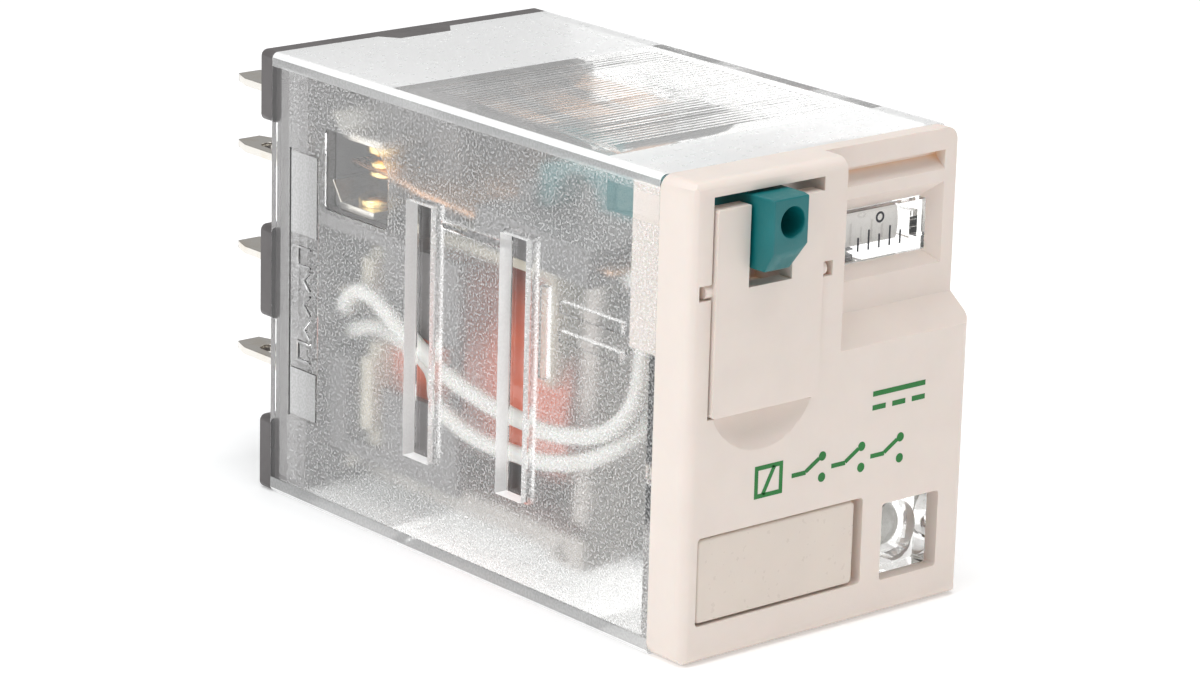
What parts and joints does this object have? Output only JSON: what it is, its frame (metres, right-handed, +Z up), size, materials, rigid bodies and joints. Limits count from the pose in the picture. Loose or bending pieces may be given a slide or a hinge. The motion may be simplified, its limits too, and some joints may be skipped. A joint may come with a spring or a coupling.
{
  "type": "plug-in industrial relay",
  "caption": "Plug-in control relay in a clear cover with a cream front frame, lock door over a teal test button, legend tab, flag and lamp windows, and flat plug blades.",
  "frame": {"origin": "centre of the footprint on the resting side, which is the narrow side of the case under the coil", "axes": "+Y runs from the front face back along the blades, +Z is up from the resting side, +X is across the width"},
  "size_m": [0.021, 0.0472, 0.027],
  "materials": {
    "frame_plastic": "satin moulded",
    "clear_plastic": "clear, frosted on the broad sides",
    "base_plastic": "satin moulded",
    "button_plastic": "satin moulded",
    "legend_plastic": "satin",
    "tinned_blade": "bright tin plate",
    "spring_copper": "rolled copper alloy",
    "wire_sleeve": "soft white sleeve",
    "gold_contact": "gold flashed silver",
    "block_plastic": "moulded",
    "plated_iron": "dull nickel plate",
    "rivet_steel": "plain",
    "spring_steel": "plain",
    "bobbin_plastic": "moulded",
    "enamelled_copper": "enamel over copper",
    "coil_tape": "film tape",
    "lamp_resin": "clear resin",
    "circuit_board": "solder mask",
    "resistor_body": "lacquered",
    "flag_plastic": "moulded",
    "flag_colour": "printed"
  },
  "bodies": {
    "case": {"front_frame": "frame_plastic", "clear_cover": "clear_plastic", "base": "base_plastic", "break_blade_1": "tinned_blade", "break_blade_2": "tinned_blade", "break_blade_3": "tinned_blade", "break_blade_4": "tinned_blade", "make_blade_1": "tinned_blade", "make_blade_2": "tinned_blade", "make_blade_3": "tinned_blade", "make_blade_4": "tinned_blade", "common_blade_1": "tinned_blade", "common_blade_2": "tinned_blade", "common_blade_3": "tinned_blade", "common_blade_4": "tinned_blade", "coil_blade_1": "tinned_blade", "coil_blade_2": "tinned_blade", "break_contacts": "gold_contact", "make_contacts": "gold_contact", "armature_spring": "spring_steel", "yoke": "plated_iron", "core": "plated_iron", "bobbin": "bobbin_plastic", "coil_winding": "enamelled_copper", "coil_tape": "coil_tape", "coil_tails": "enamelled_copper", "lead_wire_1": "wire_sleeve", "lead_wire_2": "wire_sleeve", "lead_wire_3": "wire_sleeve", "lead_wire_4": "wire_sleeve", "led_lamp": "lamp_resin", "led_board": "circuit_board", "led_resistor": "resistor_body", "led_leads": "tinned_blade"},
    "armature_set": {"armature": "plated_iron", "moving_block": "block_plastic", "block_rivets": "rivet_steel", "moving_contacts": "gold_contact", "moving_spring_1": "spring_copper", "moving_spring_2": "spring_copper", "moving_spring_3": "spring_copper", "moving_spring_4": "spring_copper"},
    "button": {"test_button": "button_plastic"},
    "door": {"lock_door": "frame_plastic"},
    "legend": {"legend_tab": "legend_plastic"},
    "flag": {"status_flag": "flag_plastic", "flag_stripe": "flag_colour"}
  },
  "joints": [
    {"name": "button_push", "type": "slide", "parent": "case", "child": "button", "axis": [0, 1, 0], "range_m": [0, 0.00115]},
    {"name": "armature_rock", "type": "hinge", "parent": "case", "child": "armature_set", "pos_m": [0, -0.00835, 0.0024], "axis": [-1, 0, 0], "range_deg": [0, 3], "stiffness_Nm_per_rad": 0.08, "springref_deg": -3.44},
    {"name": "flag_tilt", "type": "hinge", "parent": "case", "child": "flag", "pos_m": [0.0053, -0.01435, 0.0214], "axis": [1, 0, 0], "range_deg": [0, 31.5]},
    {"name": "door_swing", "type": "hinge", "parent": "case", "child": "door", "pos_m": [-0.00525, -0.02138, 0.021], "axis": [-1, 0, 0], "range_deg": [0, 90]},
    {"name": "legend_pull", "type": "slide", "parent": "case", "child": "legend", "axis": [0, -1, 0], "range_m": [0, 0.003]}
  ],
  "couplings": [
    {"joint": "button_push", "follows": "armature_rock", "m_per_rad": 0.02196},
    {"joint": "flag_tilt", "follows": "armature_rock", "ratio": 10.5}
  ]
}
